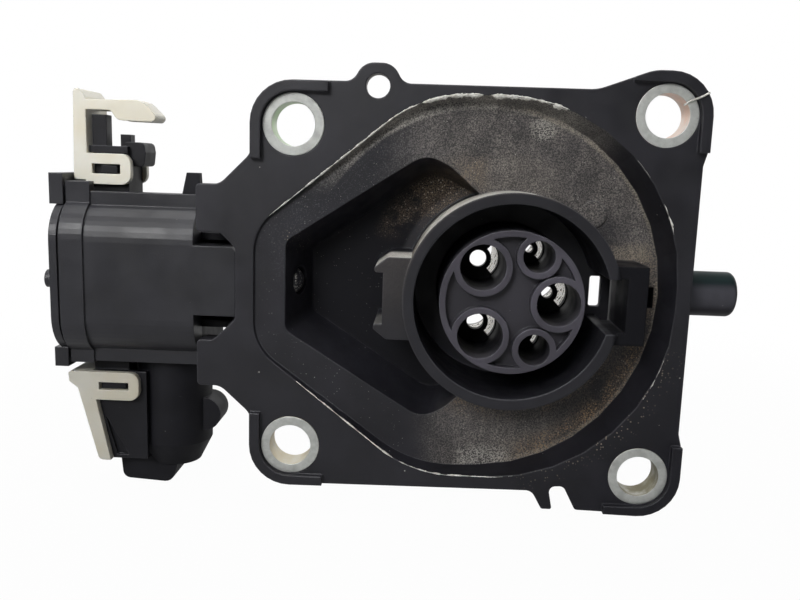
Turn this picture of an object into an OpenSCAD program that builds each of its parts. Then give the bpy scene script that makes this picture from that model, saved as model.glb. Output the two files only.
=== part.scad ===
// Charge port inlet: a flange with a five-contact plug socket, a lock actuator at its left
// and a drain at its right.
// The origin is on the socket axis at the flange's front face.
// X is to the right, Z up and Y into the vehicle.

/* [Plug socket] */
// Inside diameter of the plug collar
collar_bore = 44.5; // [44:0.1:46]
// Wall of the plug collar
collar_wall = 2.5; // [2:0.1:3]
// How far the collar stands in front of the flange
collar_front = 9.3; // [7:0.1:12]
// Depth of the plug gap behind the flange face
gap_depth = 16; // [14:0.5:18]
// Thickness of the floor of the plug gap
gap_floor_t = 3; // [2.5:0.5:4]
// Half width of the key channel
key_half = 6.2; // [5.5:0.1:7]
// Wall at the sides of the key channel
key_side_wall = 2.8; // [2:0.1:3.5]
// Outer end of the key channel, from the socket axis
key_reach = 26; // [25:0.1:27]
// Wall at the end of the key channel
key_end_wall = 4.5; // [3:0.1:5]
// How far the key box stands in front of the flange
key_front = 7.4; // [5:0.1:9]
// Half height of the latch catch
catch_half = 9.6; // [8:0.1:12]
// Height of the middle of the latch catch
catch_z = -0.5; // [-1:0.1:1]
// Reach of the latch catch's ears, from the socket axis
catch_reach = 31.4; // [29:0.1:33]
// How far the latch catch stands in front of the flange
catch_front = 5.2; // [3:0.1:7]

/* [Contact insert] */
// Outside diameter of the contact tower
tower_d = 32.8; // [32.4:0.1:33.4]
// How far the tower's front lies behind the collar's front
tower_inset = 0.9; // [0.5:0.1:2]
// Depth of the contact tubes
tube_depth = 18.5; // [16:0.5:20]
// Thickness of the tube floors
tube_floor_t = 2.5; // [2:0.5:3]
// Wall of the contact tubes
tube_wall = 1.4; // [1:0.1:1.6]
// Depth of the recess between the tubes
star_depth = 2.6; // [1:0.1:4]
// Bore of the two power tubes
power_bore = 10.4; // [9.6:0.1:10.6]
// Bore of the earth tube
earth_bore = 10; // [9:0.1:10.2]
// Bore of the two signal tubes
signal_bore = 7.2; // [6.4:0.1:7.4]
// Hole for a power pin
power_pin_d = 4.2; // [3.6:0.1:4.6]
// Hole for the earth pin
earth_pin_d = 2.9; // [2.8:0.1:3.4]
// Hole for a signal pin
signal_pin_d = 2; // [1.5:0.1:2.4]
// Distance of the power tubes from the socket axis, along X
power_x = 6.8; // [6.6:0.05:7]
// Distance of the power tubes from the socket axis, along Z
power_z = 7.85; // [7.7:0.05:8]
// Distance of the earth tube from the socket axis
earth_x = 10.6; // [10.4:0.05:10.7]
// Distance of the signal tubes from the socket axis, along X
signal_x = 5.6; // [5.5:0.05:5.7]
// Distance of the signal tubes from the socket axis, along Z
signal_z = 10.65; // [10.5:0.05:10.75]
// Length of the rear sockets behind the insert's rear flange
rear_len = 11; // [8:0.5:14]
// Thickness of the insert's rear flange
insert_flange_t = 2.5; // [2:0.5:3.5]
// Thickness of the insert's flat seal
insert_seal_t = 0.8; // [0.6:0.1:1.2]
// Distance of the insert's screws from the socket axis
insert_screw_pitch = 28; // [27.5:0.1:29]
// Diameter of the insert's screws
insert_screw_d = 3; // [2.6:0.1:3.4]

/* [Flange] */
// Thickness of the flange
flange_t = 4; // [3:0.5:5]
// Distance of the left bolts from the socket axis, along X
bolt_left_x = 51.2; // [50:0.1:53]
// Distance of the left bolts from the socket axis, along Z
bolt_left_z = 38.4; // [37.5:0.1:39]
// Distance of the right bolts from the socket axis, along X
bolt_right_x = 33.6; // [33:0.1:34.5]
// Distance of the right bolts from the socket axis, along Z
bolt_right_z = 42.8; // [42.3:0.1:44]
// Outside diameter of the bolt bushings
bushing_d = 14.2; // [13:0.1:15]
// Bore of the bolt bushings
bushing_bore = 10; // [8.5:0.1:11]
// Length of the bolt bushings
bushing_len = 6.6; // [6:0.1:8]
// Radius of the flange corners about the bolts
corner_r = 9.8; // [9.4:0.1:10.4]
// Width of the raised corner lips
lip_w = 2.4; // [1.5:0.1:2.5]
// Height of the raised corner lips
lip_h = 1.6; // [1:0.1:2.5]
// Length of the corner lips past the bolt centre
lip_leg = 8; // [4:0.5:9]
// Height of the flange's top edge above the socket axis
flange_top = 48.2; // [47.5:0.1:48.6]
// Depth of the flange's bottom edge below the socket axis
flange_bottom = 47.6; // [47.2:0.1:48]
// Left end of the flange tabs, from the socket axis
flange_left = 74; // [72.5:0.1:76]
// Half height of the flange tabs
tab_half = 24.2; // [23.6:0.1:25]
// Half height of the actuator notch
notch_half = 13; // [12.5:0.1:14]
// Inner end of the actuator notch, from the socket axis
notch_x = 64.7; // [64.3:0.1:65.5]
// Distance of the top ear from the socket axis, along X
ear_x = 32; // [28:0.5:35]
// Height of the hole in the top ear
ear_z = 47.5; // [47:0.1:48]
// Diameter of the hole in the top ear
ear_hole_d = 5.5; // [4:0.1:6]

/* [Dish and latch pocket] */
// Radius of the round part of the dish
dish_r = 44.6; // [44:0.1:45]
// Slope of the dish wall, as the wall's inset at full depth
dish_draft = 3; // [1:0.1:4]
// Depth of the dish at its left edge
dish_depth_left = 0.8; // [0.5:0.1:1.5]
// Depth of the dish at its right edge
dish_depth_right = 7.6; // [6:0.1:9]
// Wall under the dish floor and round the pocket
shell_t = 2.4; // [2:0.1:3]
// Depth of the latch pocket behind the flange face
pocket_depth = 16; // [15:0.5:17]
// Inset of the pocket floor from its mouth
pocket_draft = 5; // [4:0.1:6]
// Left wall of the pocket at its mouth, from the socket axis
pocket_left = 53.4; // [52.5:0.1:54.5]
// Half height of the pocket's left wall
pocket_half = 11; // [9:0.1:12]
// Half height of the pocket's wide end
pocket_wide_half = 34; // [32:0.1:35]

/* [Drain] */
// Outside diameter of the drain nipple
nipple_d = 11.4; // [10:0.1:12]
// Bore of the drain nipple
nipple_bore = 7.6; // [6:0.1:8.6]
// Right end of the nipple, from the socket axis
nipple_tip = 58.6; // [55:0.1:64]
// Depth of the nipple axis behind the flange face
nipple_y = 18.4; // [18:0.1:21]
// Rounding of the nipple's end
nipple_round = 1.5; // [0.5:0.1:1.8]
// Width of the drain slot in the dish floor
drain_slot_w = 1.8; // [1.4:0.1:2.4]
// Length of the drain slot in the dish floor
drain_slot_len = 5.2; // [4:0.1:6]

/* [Lock actuator] */
// Left end of the actuator, from the socket axis
act_left = 112; // [111.5:0.1:114]
// Thickness of the end cap
cap_t = 3.4; // [2.8:0.1:3.6]
// Thickness of the end cap's seal
cap_seal_t = 0.7; // [0.5:0.1:1]
// Depth of the cover's flat face behind the flange face
face_y = 2.5; // [2:0.1:3]
// Half height of the cover's flat face
face_half = 9.3; // [8.8:0.1:9.8]
// Depth of the rim's front behind the flange face
rim_y = 7.8; // [7.4:0.1:8.2]
// Half height of the rounded part of the cover
round_half = 17.9; // [17.4:0.1:18.4]
// Half height of the rim
rim_half = 21.2; // [20.8:0.1:21.8]
// Thickness of each shell's rim
rim_t = 2.4; // [2:0.1:3]
// Wall of the actuator shells
act_wall = 1.8; // [1.5:0.1:2]
// Right end of the rounded part, from the socket axis
round_right = 75.5; // [75:0.1:77]
// Depth of the actuator's back behind the flange face
act_back = 32; // [31:0.5:36]
// Half height of the rear shell
base_half = 20; // [19.6:0.1:20.4]
// Outside diameter of the motor barrel
barrel_d = 19.2; // [18.8:0.1:19.4]
// Lower end of the motor barrel
barrel_bottom = 50.4; // [50:0.1:54]

/* [Lock drive] */
// Diameter of the lock bolt
bolt_d = 7; // [6.4:0.1:7.4]
// Depth of the bolt axis behind the flange face
bolt_y = 9; // [8.8:0.1:9.4]
// Height of the bolt axis
bolt_z = 1; // [0.6:0.1:1.4]
// Bolt tip at rest, from the socket axis
bolt_tip = 49.6; // [49:0.1:50.5]
// Travel of the bolt
bolt_travel = 7; // [5:0.5:7]
// Running clearance of the bolt in its guide
bolt_clear = 0.06; // [0.03:0.01:0.09]
// Tooth size of the rack and its pinion
rack_module = 0.8; // [0.76:0.02:0.8]
// Teeth of the rack pinion
rack_teeth = 10; // [10:1:11]
// Tooth size of the motor gear pair
gear_module = 0.6; // [0.56:0.02:0.6]
// Teeth of the drive gear's wheel
wheel_teeth = 28; // [26:2:28]
// Teeth of the motor pinion
pinion_teeth = 10; // [9:1:11]
// Gap between meshing tooth flanks
backlash = 0.16; // [0.12:0.02:0.2]
// Diameter of the gear axle
axle_d = 3; // [2.5:0.1:3.2]
// Running clearance of the gear on its axle
axle_clear = 0.05; // [0.02:0.01:0.09]
// Diameter of the motor
motor_d = 14.4; // [13.6:0.1:14.6]
// Diameter of the motor shaft
shaft_d = 2; // [1.8:0.1:2.2]

/* [Connectors] */
// Thickness of the ivory hasp loops
hasp_t = 1.8; // [1.4:0.1:2]
// Width of the bars round a hasp window
hasp_bar = 2.6; // [2.2:0.1:2.8]
// Left face of the upper retainer, from the socket axis
upper_left = 108.2; // [107.6:0.1:109]
// Top of the upper retainer
upper_top = 46; // [44.5:0.1:48]
// Front of the upper connector behind the flange face
upper_y = 14.9; // [14.7:0.1:16]
// Depth of the upper connector, front to back
upper_deep = 10; // [9:0.5:12]
// Left face of the lower connector, from the socket axis
lower_left = 105.4; // [104.5:0.1:106]
// Lower end of the lower connector
lower_bottom = 47.6; // [46.5:0.1:48.1]

/* [Hidden] */
$fn = 64;

// Small values shared by every piece
eps = 0.05;
seat = 0.03;
loose = 0.3;
far = 200;

// Socket
collar_r = collar_bore / 2;
collar_or = collar_r + collar_wall;
gap_back = gap_depth + gap_floor_t;
catch_bevel = 3;
insert_front = -collar_front + tower_inset;
tower_r = tower_d / 2;
tube_floor = insert_front + tube_depth;
insert_flange_y = gap_back + insert_seal_t;
insert_rear = insert_flange_y + insert_flange_t + rear_len;
// Each contact: [x, z, tube bore, pin hole]
CONTACTS = [
    [-power_x, power_z, power_bore, power_pin_d],
    [-power_x, -power_z, power_bore, power_pin_d],
    [earth_x, 0, earth_bore, earth_pin_d],
    [signal_x, signal_z, signal_bore, signal_pin_d],
    [signal_x, -signal_z, signal_bore, signal_pin_d]
];
INSERT_SCREW_ANGLES = [45, -45, 100, -100];
INSERT_SCREWS = [for (a = INSERT_SCREW_ANGLES) insert_screw_pitch * [cos(a), sin(a)]];
insert_boss_r = insert_screw_d / 2 + 1.7;
insert_bite = 6.5;
seal_hole_r = tower_r + 0.3;
seal_r = seal_hole_r + 1.6;
drain_half = 4.4;
drain_left = seal_r + 0.3;

// Dish
dish_x = -5.4;
dish_z = 0.8;
dish_left = -60.4;
dish_corner_z = 14.2;
dish_shoulder_x = -21.5;
dish_right = dish_x + dish_r;
dish_slope = atan((dish_depth_right - dish_depth_left) / (dish_right - dish_left));
pocket_z = 0.6;

// Drain
flange_right = bolt_right_x + corner_r;
slot_x = dish_right - 4.2;
drain_boss_r = nipple_d / 2 + 3.2;
drain_boss_left = slot_x - 7;
drain_boss_right = flange_right + 2.2;
nipple_root = slot_x + 2.2;
spigot_step = 0.9;
waist = 0.8;
gusset_t = 1.8;

// Actuator
base_y = rim_y + rim_t;
cap_x = -act_left + cap_t;
cap_step = 1.5;
cover_left = cap_x + cap_seal_t;
collar_right = cover_left + 5.8;
nose_right = -notch_x - 0.6;
nose_drop = 1.7;
base_right = -round_right + 9.5;
neck_half = face_half + 2.6;
neck_back = act_back - 6;
rise = round_half - face_half;
round_r = (pow(rise, 2) + pow(rim_y - face_y, 2)) / (2 * (rim_y - face_y));
barrel_r = barrel_d / 2;
barrel_taper = 6;
bulge_x = -76.8;
bulge_z = -36.8;
bulge_r = 4.4;
ear_screw_z = (tab_half + notch_half) / 2;
ear_screw_x = -flange_left + 4.6;
ear_boss_r = 3.6;
ear_t = 2.6;
ear_y = base_y + rim_t;
ear_bite = 5.4;
tab_top = 26.4;
screw_d = 3;
head_d = 5.6;
head_t = 1.9;

// Drive
rack_r = rack_module * rack_teeth / 2;
wheel_r = gear_module * wheel_teeth / 2;
pinion_r = gear_module * pinion_teeth / 2;
bolt_r = bolt_d / 2;
seal_w = 1.8;
seal_len = 3;
rack_y = bolt_y + 3.2;
gear_y = rack_y + rack_r;
gear_x = -96;
motor_x = -85.5;
motor_y = gear_y + sqrt(pow(wheel_r + pinion_r, 2) - pow(motor_x - gear_x, 2));
wheel_z = -14;
pressure_angle = 25;
addendum = 0.8;
dedendum = 1.05;
wheel_t = 4;
rack_half = 4;
post_z = 7.4;
post_r = 3.2;
pinion_z = wheel_z - 0.3;
pinion_t = wheel_t + 0.6;
board_len = 13.5;
board_t = 1.6;
board_z = bolt_z + rack_half + 2.4;
magnet_r = 1.5;
magnet_t = 2;
magnet_x = -round_right - 4.5;
magnet_y = bolt_y - 0.4;
motor_top = -base_half + act_wall;
motor_bottom = -barrel_bottom + 5;

// Upper connector and its retainer
upper_back = upper_y + upper_deep;
upper_seat = base_half;
upper_body = -upper_left + 4.2;
upper_width = 9;
ledge_top = 32.3;
ledge_t = 1.7;
post_w = 3.6;
post_top = 39.9;
block_w = 4;
hasp_round = 2.4;
hasp_low = 22.8;
hasp_h = 7.6;
hasp_right = upper_body + 10.1;
retainer_t = 3.4;
arm_deep = 8;
arm_wall = 1.4;
arm_tip = upper_body + 17;
arm_grip = 11.6;
arm_root = 5;
arm_low = 7.6;

// Lower connector and its retainer
panel_y = 10.3;
panel_t = 1.8;
lower_top = -24.4;
lower_lean = 5;
lower_back = motor_y + barrel_r - 2;
panel_right = -lower_left + 15.4;
panel_over = 5;
lower_hasp_h = 7.2;

// Geometry helpers

// Unit vector along v
function unit(v) = v / norm(v);

// Points of one rounded corner b between its neighbours a and c, each [x, z, radius]
function corner(a, b, c, steps) =
    let (
        p = [b[0], b[1]],
        u = unit([a[0], a[1]] - p),
        v = unit([c[0], c[1]] - p),
        half = acos(u * v) / 2,
        centre = p + unit(u + v) * b[2] / sin(half),
        start = p + u * b[2] / tan(half) - centre,
        finish = p + v * b[2] / tan(half) - centre,
        sweep = 180 - 2 * half
    )
    b[2] == 0
        ? [p]
        : [for (i = [0:steps])
            centre + (start * sin(sweep * (1 - i / steps)) + finish * sin(sweep * i / steps)) / sin(sweep)];

// Outline through a list of [x, z, radius] corners
function rounded(corners, steps = 8) =
    let (n = len(corners))
    [for (i = [0:n - 1]) each corner(corners[(i + n - 1) % n], corners[i], corners[(i + 1) % n], steps)];

// A flat outline in X and Z, given thickness along Y
module plate(front, back) {
    rotate([90, 0, 0])
        translate([0, 0, -back])
            linear_extrude(back - front)
                children();
}

// A flat profile in Y and Z, drawn out along X
module bar(left, right) {
    translate([left, 0, 0])
        rotate([90, 0, 90])
            linear_extrude(right - left)
                children();
}

// A box between two corners
module box(low, high) {
    translate(low)
        cube(high - low);
}

// Round solids along each axis, centred on the other two coordinates
module along_x(left, right, y, z, r) {
    translate([left, y, z])
        rotate([0, 90, 0])
            cylinder(h = right - left, r = r);
}

module along_y(front, back, x, z, r) {
    translate([x, front, z])
        rotate([-90, 0, 0])
            cylinder(h = back - front, r = r);
}

module along_z(low, high, x, y, r) {
    translate([x, y, low])
        cylinder(h = high - low, r = r);
}

// A pan-head screw along Y: its head's seat at y, its head behind it and its shank in front
module screw_y(x, y, z, d, shank, head) {
    along_y(y - shank, y, x, z, d / 2);
    along_y(y, y + head_t, x, z, head / 2);
}

// Flange

FLANGE = [
    [-flange_left, tab_half, 1],
    [-flange_left + 5.6, tab_half, 4],
    [-bolt_left_x - corner_r, bolt_left_z - 6.8, 4],
    [-bolt_left_x - corner_r, bolt_left_z + corner_r, corner_r],
    [-ear_x - 5.8, flange_top + 0.2, 3],
    [-ear_x - 3.3, ear_z + 5.1, 4.2],
    [-ear_x + 3.3, ear_z + 5.1, 4.2],
    [-ear_x + 5.8, flange_top, 3],
    [bolt_right_x - 16, flange_top, 10],
    [bolt_right_x - 4, bolt_right_z + corner_r, 10],
    [flange_right, bolt_right_z + corner_r, corner_r],
    [flange_right, bolt_right_z - lip_leg, 3],
    [flange_right - waist, bolt_right_z - lip_leg - 3, 3],
    [flange_right - waist, -bolt_right_z + lip_leg + 3, 3],
    [flange_right, -bolt_right_z + lip_leg, 3],
    [flange_right, -bolt_right_z - corner_r, corner_r],
    [19, -bolt_right_z - corner_r + 0.5, 1],
    [15.9, -flange_bottom + 1.4, 1.5],
    [12.2, -flange_bottom + 1.2, 1.5],
    [13.4, -flange_bottom - 4.6, 0.5],
    [10.8, -flange_bottom - 4.6, 0.7],
    [8.2, -flange_bottom, 2.5],
    [-bolt_left_x - corner_r, -bolt_left_z - corner_r, corner_r],
    [-bolt_left_x - corner_r, -bolt_left_z + 7.4, 4],
    [-flange_left + 5.6, -tab_half, 4],
    [-flange_left, -tab_half, 1],
    [-flange_left, -notch_half, 1],
    [-notch_x - 5.4, -notch_half, 2],
    [-notch_x, -notch_half + 5.4, 2],
    [-notch_x, notch_half - 3.6, 2],
    [-notch_x - 3.6, notch_half, 2],
    [-flange_left, notch_half, 1]
];

BOLTS = [
    [-bolt_left_x, bolt_left_z],
    [-bolt_left_x, -bolt_left_z],
    [bolt_right_x, bolt_right_z],
    [bolt_right_x, -bolt_right_z]
];

// Dish outline, grown outwards by g
function dish(g) = [
    [dish_left - g, dish_corner_z + 0.7 * g, 12],
    [dish_shoulder_x - 0.3 * g, dish_z + dish_r + 0.8 + g, 30],
    [dish_right + g, dish_z + dish_r + 0.8 + g, dish_r - 2],
    [dish_right + g, dish_z - dish_r - 0.8 - g, dish_r - 2],
    [dish_shoulder_x - 0.3 * g, dish_z - dish_r - 0.8 - g, 30],
    [dish_left - g, -dish_corner_z - 0.7 * g, 12]
];

// Pocket outline, drawn in by g
function pocket(g) = [
    [-pocket_left + g, pocket_z + pocket_half - 0.6 * g, 3],
    [-20 + 0.3 * g, pocket_z + pocket_wide_half - 1.2 * g, 6],
    [-6, pocket_z + 22, 2],
    [-6, pocket_z - 22, 2],
    [-19 + 0.3 * g, pocket_z - pocket_wide_half + 1.2 * g, 6],
    [-pocket_left + g, pocket_z - pocket_half + 0.6 * g, 3]
];

// The space behind the dish floor, starting lower by drop
module behind_dish(drop) {
    translate([dish_left, dish_depth_left + drop, 0])
        rotate([0, 0, dish_slope])
            box([-far, 0, -far], [far, far, far]);
}

// The hollow of the dish: a drafted form above its tilted floor
module dish_cut() {
    deep = dish_depth_right + 2;
    difference() {
        hull() {
            plate(-eps, 0)
                polygon(rounded(dish(0)));
            plate(deep, deep + eps)
                polygon(rounded(dish(-dish_draft)));
        }
        behind_dish(0);
    }
}

// The drafted latch pocket, grown outwards by g and ending at a depth
module pocket_form(g, depth, front) {
    hull() {
        plate(front, front + eps)
            polygon(rounded(pocket(-g), 5));
        plate(depth - eps, depth)
            polygon(rounded(pocket(pocket_draft - g), 5));
    }
}

// The raised lip round the outer side of one corner: sx and sz give the side
module corner_lip(at, sx, sz) {
    run = corner_r - lip_w;
    outer = [
        [at[0] - sx * lip_leg, at[1] + sz * corner_r, 0],
        [at[0] + sx * corner_r, at[1] + sz * corner_r, corner_r],
        [at[0] + sx * corner_r, at[1] - sz * lip_leg, 0],
        [at[0] + sx * run, at[1] - sz * lip_leg, 0],
        [at[0] + sx * run, at[1] + sz * run, run],
        [at[0] - sx * lip_leg, at[1] + sz * run, 0]
    ];
    plate(-lip_h, flange_t / 2)
        intersection() {
            polygon(rounded(outer));
            polygon(rounded(FLANGE));
        }
}

// Stiffening gusset behind the flange, from the collar barrel to a bolt boss
module gusset(at) {
    reach = norm(at) - bushing_d / 2;
    root = collar_or - 1;
    rotate([0, -atan2(at[1], at[0]), 0])
        translate([0, 0, -gusset_t / 2])
            linear_extrude(gusset_t)
                polygon([[root, 1], [reach, 1], [reach, flange_t + 1.4], [root, gap_back - 4]]);
}

module housing_solid() {
    difference() {
        union() {
            plate(0, flange_t)
                polygon(rounded(FLANGE));
            for (at = BOLTS) {
                along_y(flange_t - 1, bushing_len - 0.4, at[0], at[1], corner_r - 0.6);
                gusset(at);
            }
            for (sz = [1, -1]) {
                corner_lip([-bolt_left_x, sz * bolt_left_z], -1, sz);
                corner_lip([bolt_right_x, sz * bolt_right_z], 1, sz);
                along_y(flange_t - 1, ear_y, ear_screw_x, sz * ear_screw_z, ear_boss_r);
            }
            difference() {
                plate(flange_t - 1, far / 8)
                    polygon(rounded(dish(shell_t - 1)));
                behind_dish(shell_t);
            }
            pocket_form(shell_t, pocket_depth + shell_t, flange_t - 1);
            along_x(-notch_x, -pocket_left + 4, bolt_y, bolt_z, bolt_r + 3);
            along_x(drain_boss_left, drain_boss_right, nipple_y, 0, drain_boss_r);
            box([drain_boss_left, flange_t, -drain_boss_r],
                [flange_right - waist - 0.4, nipple_y, drain_boss_r]);
        }
        dish_cut();
        pocket_form(0, pocket_depth, -eps);
    }
}

module collar_and_catch() {
    along_y(-collar_front, gap_back, 0, 0, collar_or);
    box([collar_r, -key_front, -key_half - key_side_wall],
        [key_reach + key_end_wall, dish_depth_right + 1, key_half + key_side_wall]);
    box([-catch_reach + 2, -catch_front, catch_z - catch_half + 1],
        [-collar_r, pocket_depth + 1, catch_z + catch_half - 1]);
    for (sz = [1, -1])
        plate(-catch_front, pocket_depth + 1)
            polygon(rounded([
                [-collar_r, catch_z + sz * (catch_half - 3.6), 0],
                [-catch_reach, catch_z + sz * (catch_half - 3.6), 0.6],
                [-catch_reach, catch_z + sz * (catch_half - 2.4), 0.6],
                [-catch_reach + catch_bevel, catch_z + sz * catch_half, 1.5],
                [-collar_r, catch_z + sz * catch_half, 0]
            ], 4));
    for (at = INSERT_SCREWS)
        along_y(flange_t + 2, insert_flange_y, at[0], at[1], insert_boss_r);
}

module inlet_housing() {
    color("#26282c")
        difference() {
            union() {
                housing_solid();
                collar_and_catch();
            }
            along_y(-far, gap_depth, 0, 0, collar_r);
            along_y(-far, far, 0, 0, seal_hole_r);
            box([0, -far, -key_half], [key_reach, gap_depth, key_half]);
            box([drain_left, gap_depth - 2, -drain_half - 0.6], [key_reach - 0.4, far, drain_half - 0.6]);
            for (at = BOLTS)
                along_y(-far, far, at[0], at[1], bushing_d / 2 + seat);
            along_y(-far, far, -ear_x, ear_z, ear_hole_d / 2);
            for (at = INSERT_SCREWS)
                along_y(insert_flange_y - insert_bite - 0.5, far, at[0], at[1], insert_screw_d / 2 + seat);
            for (sz = [1, -1])
                along_y(flange_t + 1, far, ear_screw_x, sz * ear_screw_z, screw_d / 2 + seat);
            along_x(-far, -pocket_left + pocket_draft + 2, bolt_y, bolt_z, bolt_r + bolt_clear);
            along_x(-far, -notch_x + seal_len, bolt_y, bolt_z, bolt_r + seal_w);
            box([slot_x - drain_slot_w / 2, dish_depth_right - 5, -drain_slot_len / 2],
                [slot_x + drain_slot_w / 2, nipple_y, drain_slot_len / 2]);
            along_x(slot_x - 4, far, nipple_y, 0, nipple_bore / 2);
            along_x(nipple_root, far, nipple_y, 0, nipple_d / 2 - spigot_step + seat);
        }
}

// Contact insert

// Rear flange with its screw ears
module insert_flange() {
    plate(insert_flange_y, insert_flange_y + insert_flange_t) {
        circle(seal_r);
        for (a = INSERT_SCREW_ANGLES)
            rotate(a) {
                translate([0, -insert_boss_r])
                    square([insert_screw_pitch, 2 * insert_boss_r]);
                translate([insert_screw_pitch, 0])
                    circle(insert_boss_r);
            }
    }
}

module contact_insert() {
    rear_start = tube_floor + tube_floor_t;
    color("#2b2d31")
        difference() {
            union() {
                along_y(insert_front + star_depth, insert_flange_y, 0, 0, tower_r);
                insert_flange();
                difference() {
                    along_y(insert_front, insert_front + star_depth + 1, 0, 0, tower_r);
                    along_y(insert_front - 1, insert_front + star_depth, 0, 0, tower_r - tube_wall);
                }
                intersection() {
                    along_y(insert_front, insert_rear, 0, 0, tower_r);
                    for (c = CONTACTS)
                        along_y(insert_front, insert_rear, c[0], c[1], c[2] / 2 + tube_wall);
                }
            }
            for (c = CONTACTS) {
                along_y(insert_front - 1, tube_floor, c[0], c[1], c[2] / 2);
                along_y(rear_start, far, c[0], c[1], c[2] / 2);
                along_y(insert_front, far, c[0], c[1], c[3] / 2);
                drain_window(c);
            }
            for (at = INSERT_SCREWS)
                along_y(insert_flange_y - 1, far, at[0], at[1], insert_screw_d / 2 + loose / 2);
        }
}

// Crescent window in a tube floor, on the right of the pin hole
module drain_window(c) {
    reach = c[2] / 2 - 0.2;
    intersection() {
        difference() {
            along_y(tube_floor - 1, tube_floor + tube_floor_t + 1, c[0], c[1], reach);
            along_y(tube_floor - 2, tube_floor + tube_floor_t + 2, c[0], c[1], c[3] / 2 + 1.1);
        }
        plate(tube_floor - 1, tube_floor + tube_floor_t + 1)
            polygon([[c[0], c[1]], [c[0] + c[2], c[1] + c[2] * 1.1], [c[0] + c[2], c[1] - c[2] * 1.1]]);
    }
}

module insert_seal() {
    color("#1a1a1c")
        difference() {
            along_y(gap_back, insert_flange_y, 0, 0, seal_r);
            along_y(gap_back - 1, insert_flange_y + 1, 0, 0, tower_r + seat);
        }
}

module insert_screws() {
    shank = insert_flange_t + insert_bite;
    color("#b9bcc0")
        for (at = INSERT_SCREWS)
            screw_y(at[0], insert_flange_y + insert_flange_t, at[1], insert_screw_d, shank, head_d);
}

module bushing(at) {
    color("#c3c6c4")
        difference() {
            along_y(-0.2, bushing_len - 0.2, at[0], at[1], bushing_d / 2);
            along_y(-1, bushing_len + 1, at[0], at[1], bushing_bore / 2);
        }
}

// Hose stub with a rounded end: a thinner spigot sits in the boss up to a shoulder
module drain_nipple() {
    outer = nipple_d / 2;
    inner = nipple_bore / 2;
    shoulder = drain_boss_right + seat - nipple_root;
    length = nipple_tip - nipple_root;
    color("#20262a")
        translate([nipple_root, nipple_y, 0])
            rotate([0, 90, 0])
                rotate_extrude()
                    difference() {
                        union() {
                            square([outer - spigot_step, length / 2]);
                            translate([0, shoulder])
                                square([outer, length - nipple_round - shoulder]);
                            translate([0, shoulder])
                                square([outer - nipple_round, length - shoulder]);
                            translate([outer - nipple_round, length - nipple_round])
                                circle(nipple_round);
                        }
                        square([inner, length * 2]);
                    }
}

// Lock actuator

// Upper edge of the cover's profile, from the face's edge to the rim's foot, grown by g
function cover_round(g) = [for (i = [0:8])
    let (a = asin(rise / round_r) * i / 8)
    [face_y - g + round_r * (1 - cos(a)), face_half + g + round_r * sin(a)]];

// Cover profile in Y and Z, closed at a depth behind the rim's front
function cover_profile(g, top, bottom, back) = concat(
    cover_round(g),
    [[rim_y - g, top], [back, top], [back, -bottom], [rim_y - g, -bottom]],
    [for (i = [8:-1:0]) [cover_round(g)[i][0], -cover_round(g)[i][1]]]
);

module cover_hollow(left, right) {
    bar(left, right)
        polygon(cover_profile(-act_wall, round_half - act_wall, round_half - act_wall, base_y + eps));
}

module actuator_cover() {
    color("#2a2c31")
        difference() {
            union() {
                bar(cover_left, -round_right)
                    polygon(cover_profile(0, rim_half, rim_half, base_y));
                bar(cover_left, collar_right)
                    polygon(cover_profile(0.5, rim_half + 2.4, rim_half + 0.4, base_y));
                plate(face_y, base_y)
                    polygon(rounded([
                        [-round_right - 2, face_half, 0],
                        [nose_right, face_half, 1.5],
                        [nose_right, -face_half + nose_drop, 0.4],
                        [-round_right - 2, -face_half + nose_drop, 0]
                    ], 5));
            }
            cover_hollow(cover_left - 1, -round_right - act_wall);
            box([-round_right - act_wall - eps, face_y + act_wall, -face_half + nose_drop + act_wall],
                [nose_right - act_wall, base_y + 1, face_half - act_wall]);
            along_x(nose_right - act_wall - 1, far, bolt_y, bolt_z, bolt_r + loose);
        }
}

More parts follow.
